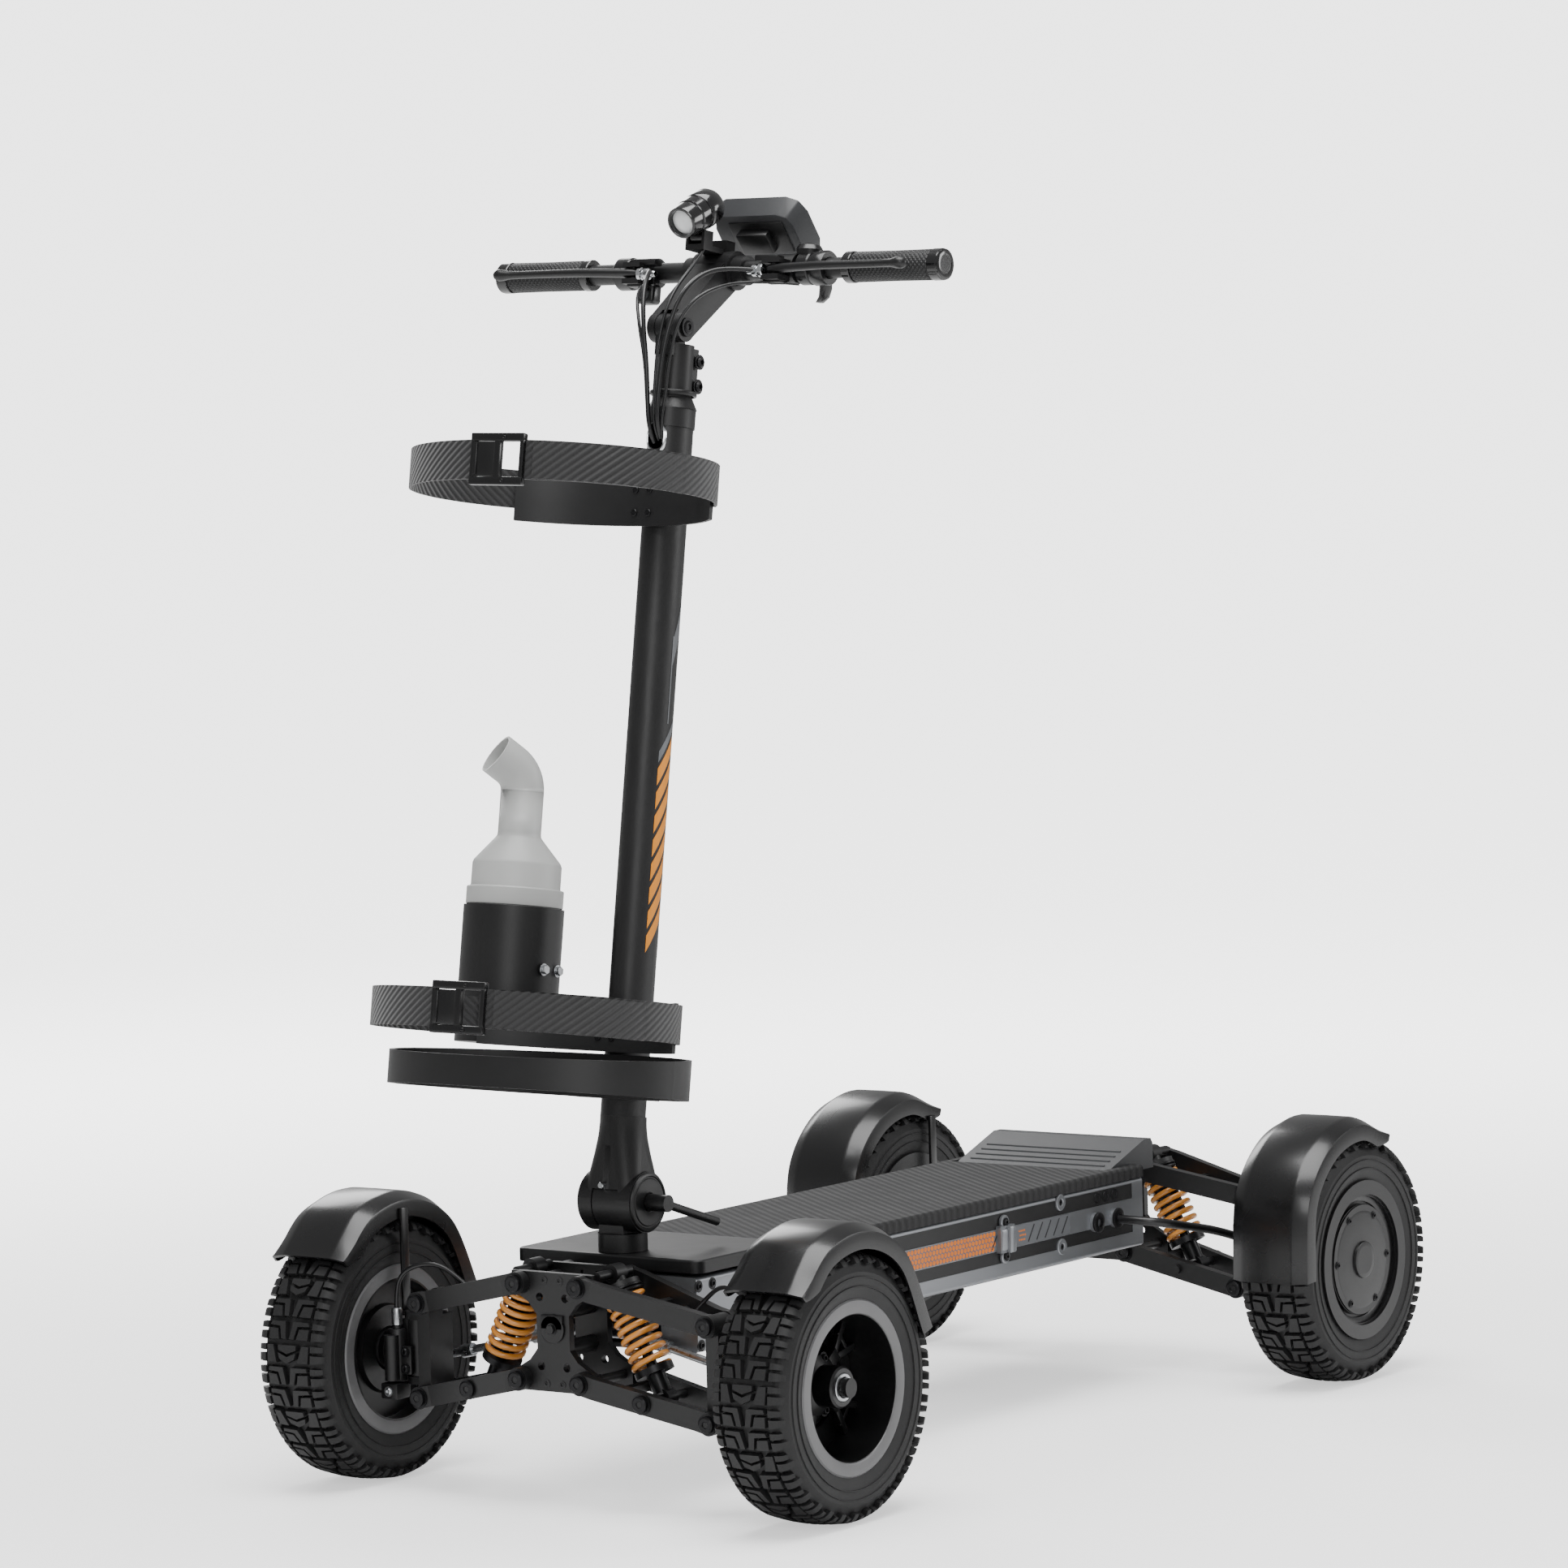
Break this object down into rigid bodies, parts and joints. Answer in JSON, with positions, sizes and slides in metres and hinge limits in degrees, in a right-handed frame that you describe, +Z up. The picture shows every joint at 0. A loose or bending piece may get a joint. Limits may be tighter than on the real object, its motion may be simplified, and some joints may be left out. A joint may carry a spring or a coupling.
{
  "type": "electric stand-on board",
  "caption": "Electric stand-on board on sprung double-wishbone wheels, with a folding steering column, mudguards and a golf bag carrier with a sand bottle.",
  "frame": {"origin": "middle of the footprint of the whole object, on the ground", "axes": "+X forwards, +Y to the rider's left, +Z up"},
  "size_m": [1.3728, 0.712, 1.3534],
  "materials": {
    "rubber": "matte",
    "rim_alloy": "satin",
    "black_steel": "satin powder coat",
    "guard_plastic": "semi-gloss",
    "spring_steel": "gloss",
    "deck_alloy": "anodised",
    "mat_rubber": "ribbed",
    "grey_plastic": "satin",
    "cell_pack": "wrapped",
    "cable": "smooth",
    "webbing": "twill",
    "bottle_white": "satin",
    "bright_steel": "bright"
  },
  "bodies": {
    "chassis": {"deck_housing": "deck_alloy", "deck_mat": "mat_rubber", "kick_plate": "grey_plastic", "top_plate": "black_steel", "bulkhead_plates": "black_steel", "battery_and_controller": "cell_pack", "motor_leads": "cable", "coil_springs": "spring_steel"},
    "lower_arm_front_left": {"lower_arm_front_left": "black_steel"},
    "upper_arm_front_left": {"upper_arm_front_left": "black_steel"},
    "upright_front_left": {"upright_front_left": "black_steel"},
    "knuckle_front_left": {"steering_knuckle_front_left": "black_steel", "mudguard_front_left": "guard_plastic"},
    "wheel_front_left": {"tyre_front_left": "rubber", "rim_front_left": "rim_alloy"},
    "damper_body_front_left": {"damper_body_front_left": "black_steel"},
    "damper_rod_front_left": {"damper_rod_front_left": "bright_steel"},
    "lower_arm_front_right": {"lower_arm_front_right": "black_steel"},
    "upper_arm_front_right": {"upper_arm_front_right": "black_steel"},
    "upright_front_right": {"upright_front_right": "black_steel"},
    "knuckle_front_right": {"steering_knuckle_front_right": "black_steel", "mudguard_front_right": "guard_plastic"},
    "wheel_front_right": {"tyre_front_right": "rubber", "rim_front_right": "rim_alloy"},
    "damper_body_front_right": {"damper_body_front_right": "black_steel"},
    "damper_rod_front_right": {"damper_rod_front_right": "bright_steel"},
    "lower_arm_rear_left": {"lower_arm_rear_left": "black_steel"},
    "upper_arm_rear_left": {"upper_arm_rear_left": "black_steel"},
    "upright_rear_left": {"upright_rear_left": "black_steel", "mudguard_rear_left": "guard_plastic"},
    "wheel_rear_left": {"tyre_rear_left": "rubber", "hub_motor_rear_left": "rim_alloy"},
    "damper_body_rear_left": {"damper_body_rear_left": "black_steel"},
    "damper_rod_rear_left": {"damper_rod_rear_left": "bright_steel"},
    "lower_arm_rear_right": {"lower_arm_rear_right": "black_steel"},
    "upper_arm_rear_right": {"upper_arm_rear_right": "black_steel"},
    "upright_rear_right": {"upright_rear_right": "black_steel", "mudguard_rear_right": "guard_plastic"},
    "wheel_rear_right": {"tyre_rear_right": "rubber", "hub_motor_rear_right": "rim_alloy"},
    "damper_body_rear_right": {"damper_body_rear_right": "black_steel"},
    "damper_rod_rear_right": {"damper_rod_rear_right": "bright_steel"},
    "tie_rod_front_left": {"tie_rod_front_left": "bright_steel"},
    "tie_rod_front_right": {"tie_rod_front_right": "bright_steel"},
    "steering_rack": {"steering_rack": "bright_steel"},
    "post": {"steering_post": "black_steel"},
    "column": {"column_tube": "black_steel", "bag_carrier": "black_steel", "bag_straps": "webbing", "control_cables": "cable"},
    "fold_lever": {"fold_lever": "black_steel"},
    "stem": {"handlebar_stem": "black_steel", "handlebar": "black_steel", "grips": "mat_rubber", "display_case": "grey_plastic"},
    "headlight": {"headlight": "guard_plastic"},
    "brake_lever_left": {"brake_lever_left": "black_steel"},
    "brake_lever_right": {"brake_lever_right": "black_steel"},
    "throttle": {"throttle": "grey_plastic"},
    "bottle": {"bottle": "bottle_white"}
  },
  "joints": [
    {"name": "arm_swing_front_left", "type": "hinge", "parent": "chassis", "child": "lower_arm_front_left", "pos_m": [0.46361, 0.04, 0.1334], "axis": [1, 0, 0], "range_deg": [-7, 12], "stiffness_Nm_per_rad": 260, "springref_deg": -4.87, "deforming": ["coil_springs"]},
    {"name": "upper_arm_swing_front_left", "type": "hinge", "parent": "chassis", "child": "upper_arm_front_left", "pos_m": [0.46361, 0.04, 0.2334], "axis": [1, 0, 0], "range_deg": [-7, 12]},
    {"name": "upright_swing_front_left", "type": "hinge", "parent": "lower_arm_front_left", "child": "upright_front_left", "pos_m": [0.46361, 0.1875, 0.1], "axis": [1, 0, 0], "range_deg": [-12, 7]},
    {"name": "knuckle_turn_front_left", "type": "hinge", "parent": "upright_front_left", "child": "knuckle_front_left", "pos_m": [0.45861, 0.214, 0.14], "axis": [0, 0, 1], "range_deg": [-28.4, 28.4]},
    {"name": "wheel_spin_front_left", "type": "hinge", "parent": "knuckle_front_left", "child": "wheel_front_left", "pos_m": [0.44361, 0.294, 0.14], "axis": [0, 1, 0], "continuous": true},
    {"name": "damper_swing_front_left", "type": "hinge", "parent": "chassis", "child": "damper_body_front_left", "pos_m": [0.46561, 0.052, 0.243], "axis": [1, 0, 0], "range_deg": [-2.33, 3.92]},
    {"name": "damper_slide_front_left", "type": "slide", "parent": "damper_body_front_left", "child": "damper_rod_front_left", "axis": [0, 0.4302, -0.9027], "range_m": [-0.01298, 0.00778]},
    {"name": "arm_swing_front_right", "type": "hinge", "parent": "chassis", "child": "lower_arm_front_right", "pos_m": [0.46361, -0.04, 0.1334], "axis": [-1, 0, 0], "range_deg": [-7, 12], "stiffness_Nm_per_rad": 260, "springref_deg": -4.87, "deforming": ["coil_springs"]},
    {"name": "upper_arm_swing_front_right", "type": "hinge", "parent": "chassis", "child": "upper_arm_front_right", "pos_m": [0.46361, -0.04, 0.2334], "axis": [-1, 0, 0], "range_deg": [-7, 12]},
    {"name": "upright_swing_front_right", "type": "hinge", "parent": "lower_arm_front_right", "child": "upright_front_right", "pos_m": [0.46361, -0.1875, 0.1], "axis": [-1, 0, 0], "range_deg": [-12, 7]},
    {"name": "knuckle_turn_front_right", "type": "hinge", "parent": "upright_front_right", "child": "knuckle_front_right", "pos_m": [0.45861, -0.214, 0.14], "axis": [0, 0, 1], "range_deg": [-28.4, 28.4]},
    {"name": "wheel_spin_front_right", "type": "hinge", "parent": "knuckle_front_right", "child": "wheel_front_right", "pos_m": [0.44361, -0.294, 0.14], "axis": [0, 1, 0], "continuous": true},
    {"name": "damper_swing_front_right", "type": "hinge", "parent": "chassis", "child": "damper_body_front_right", "pos_m": [0.46561, -0.052, 0.243], "axis": [-1, 0, 0], "range_deg": [-2.33, 3.92]},
    {"name": "damper_slide_front_right", "type": "slide", "parent": "damper_body_front_right", "child": "damper_rod_front_right", "axis": [0, -0.4302, -0.9027], "range_m": [-0.01298, 0.00778]},
    {"name": "arm_swing_rear_left", "type": "hinge", "parent": "chassis", "child": "lower_arm_rear_left", "pos_m": [-0.56639, 0.04, 0.1334], "axis": [1, 0, 0], "range_deg": [-7, 12], "stiffness_Nm_per_rad": 260, "springref_deg": -4.87, "deforming": ["coil_springs", "motor_leads"]},
    {"name": "upper_arm_swing_rear_left", "type": "hinge", "parent": "chassis", "child": "upper_arm_rear_left", "pos_m": [-0.56639, 0.04, 0.2334], "axis": [1, 0, 0], "range_deg": [-7, 12]},
    {"name": "upright_swing_rear_left", "type": "hinge", "parent": "lower_arm_rear_left", "child": "upright_rear_left", "pos_m": [-0.56639, 0.1875, 0.1], "axis": [1, 0, 0], "range_deg": [-12, 7]},
    {"name": "wheel_spin_rear_left", "type": "hinge", "parent": "upright_rear_left", "child": "wheel_rear_left", "pos_m": [-0.54639, 0.307, 0.14], "axis": [0, 1, 0], "continuous": true},
    {"name": "damper_swing_rear_left", "type": "hinge", "parent": "chassis", "child": "damper_body_rear_left", "pos_m": [-0.56839, 0.052, 0.243], "axis": [1, 0, 0], "range_deg": [-2.33, 3.92]},
    {"name": "damper_slide_rear_left", "type": "slide", "parent": "damper_body_rear_left", "child": "damper_rod_rear_left", "axis": [0, 0.4302, -0.9027], "range_m": [-0.01298, 0.00778]},
    {"name": "arm_swing_rear_right", "type": "hinge", "parent": "chassis", "child": "lower_arm_rear_right", "pos_m": [-0.56639, -0.04, 0.1334], "axis": [-1, 0, 0], "range_deg": [-7, 12], "stiffness_Nm_per_rad": 260, "springref_deg": -4.87, "deforming": ["coil_springs", "motor_leads"]},
    {"name": "upper_arm_swing_rear_right", "type": "hinge", "parent": "chassis", "child": "upper_arm_rear_right", "pos_m": [-0.56639, -0.04, 0.2334], "axis": [-1, 0, 0], "range_deg": [-7, 12]},
    {"name": "upright_swing_rear_right", "type": "hinge", "parent": "lower_arm_rear_right", "child": "upright_rear_right", "pos_m": [-0.56639, -0.1875, 0.1], "axis": [-1, 0, 0], "range_deg": [-12, 7]},
    {"name": "wheel_spin_rear_right", "type": "hinge", "parent": "upright_rear_right", "child": "wheel_rear_right", "pos_m": [-0.54639, -0.307, 0.14], "axis": [0, 1, 0], "continuous": true},
    {"name": "damper_swing_rear_right", "type": "hinge", "parent": "chassis", "child": "damper_body_rear_right", "pos_m": [-0.56839, -0.052, 0.243], "axis": [-1, 0, 0], "range_deg": [-2.33, 3.92]},
    {"name": "damper_slide_rear_right", "type": "slide", "parent": "damper_body_rear_right", "child": "damper_rod_rear_right", "axis": [0, -0.4302, -0.9027], "range_m": [-0.01298, 0.00778]},
    {"name": "tie_rod_swing_front_left", "type": "hinge", "parent": "steering_rack", "child": "tie_rod_front_left", "pos_m": [0.42261, 0.04, 0.172], "axis": [1, 0, 0], "range_deg": [-7, 12]},
    {"name": "tie_rod_swing_front_right", "type": "hinge", "parent": "steering_rack", "child": "tie_rod_front_right", "pos_m": [0.42261, -0.04, 0.172], "axis": [-1, 0, 0], "range_deg": [-7, 12]},
    {"name": "post_turn", "type": "hinge", "parent": "chassis", "child": "post", "pos_m": [0.38161, 0, 0.2385], "axis": [0, 0, 1], "range_deg": [-22.5, 22.5]},
    {"name": "rack_slide", "type": "slide", "parent": "chassis", "child": "steering_rack", "axis": [0, 1, 0], "range_m": [-0.0172, 0.0172]},
    {"name": "column_fold", "type": "hinge", "parent": "post", "child": "column", "pos_m": [0.38161, 0, 0.305], "axis": [0, 1, 0], "range_deg": [-58, 0]},
    {"name": "fold_lever_turn", "type": "hinge", "parent": "post", "child": "fold_lever", "pos_m": [0.38161, 0.0335, 0.305], "axis": [0, 1, 0], "range_deg": [0, 60]},
    {"name": "stem_tilt", "type": "hinge", "parent": "column", "child": "stem", "pos_m": [0.25078, 0, 1.21286], "axis": [0, 1, 0], "range_deg": [-25, 25], "deforming": ["control_cables"]},
    {"name": "headlight_tilt", "type": "hinge", "parent": "stem", "child": "headlight", "pos_m": [0.19471, 0, 1.30679], "axis": [0, 1, 0], "range_deg": [-15, 15]},
    {"name": "brake_squeeze_left", "type": "hinge", "parent": "stem", "child": "brake_lever_left", "pos_m": [0.18945, 0.092, 1.27154], "axis": [-0.165, 0, 0.9863], "range_deg": [0, 6], "stiffness_Nm_per_rad": 2, "springref_deg": -5.73, "deforming": ["control_cables"]},
    {"name": "brake_squeeze_right", "type": "hinge", "parent": "stem", "child": "brake_lever_right", "pos_m": [0.18945, -0.092, 1.27154], "axis": [0.165, 0, -0.9863], "range_deg": [0, 6], "stiffness_Nm_per_rad": 2, "springref_deg": -5.73, "deforming": ["control_cables"]},
    {"name": "throttle_push", "type": "hinge", "parent": "stem", "child": "throttle", "pos_m": [0.16019, 0.134, 1.2707], "axis": [0, -1, 0], "range_deg": [0, 25], "stiffness_Nm_per_rad": 0.4, "springref_deg": -8.59},
    {"name": "bottle_lift", "type": "slide", "parent": "column", "child": "bottle", "axis": [-0.165, 0, 0.9863], "range_m": [0, 0.12]}
  ],
  "couplings": [
    {"joint": "upper_arm_swing_front_left", "follows": "arm_swing_front_left", "ratio": 1},
    {"joint": "upright_swing_front_left", "follows": "arm_swing_front_left", "ratio": -1},
    {"joint": "knuckle_turn_front_left", "follows": "post_turn", "ratio": 1.2394},
    {"joint": "damper_swing_front_left", "follows": "arm_swing_front_left", "ratio": 0.31809},
    {"joint": "damper_slide_front_left", "follows": "arm_swing_front_left", "m_per_rad": -0.059608},
    {"joint": "upper_arm_swing_front_right", "follows": "arm_swing_front_right", "ratio": 1},
    {"joint": "upright_swing_front_right", "follows": "arm_swing_front_right", "ratio": -1},
    {"joint": "knuckle_turn_front_right", "follows": "post_turn", "ratio": 1.2394},
    {"joint": "damper_swing_front_right", "follows": "arm_swing_front_right", "ratio": 0.31809},
    {"joint": "damper_slide_front_right", "follows": "arm_swing_front_right", "m_per_rad": -0.059608},
    {"joint": "upper_arm_swing_rear_left", "follows": "arm_swing_rear_left", "ratio": 1},
    {"joint": "upright_swing_rear_left", "follows": "arm_swing_rear_left", "ratio": -1},
    {"joint": "damper_swing_rear_left", "follows": "arm_swing_rear_left", "ratio": 0.31809},
    {"joint": "damper_slide_rear_left", "follows": "arm_swing_rear_left", "m_per_rad": -0.059608},
    {"joint": "upper_arm_swing_rear_right", "follows": "arm_swing_rear_right", "ratio": 1},
    {"joint": "upright_swing_rear_right", "follows": "arm_swing_rear_right", "ratio": -1},
    {"joint": "damper_swing_rear_right", "follows": "arm_swing_rear_right", "ratio": 0.31809},
    {"joint": "damper_slide_rear_right", "follows": "arm_swing_rear_right", "m_per_rad": -0.059608},
    {"joint": "tie_rod_swing_front_left", "follows": "arm_swing_front_left", "ratio": 1},
    {"joint": "tie_rod_swing_front_right", "follows": "arm_swing_front_right", "ratio": 1},
    {"joint": "rack_slide", "follows": "post_turn", "m_per_rad": -0.042878}
  ]
}
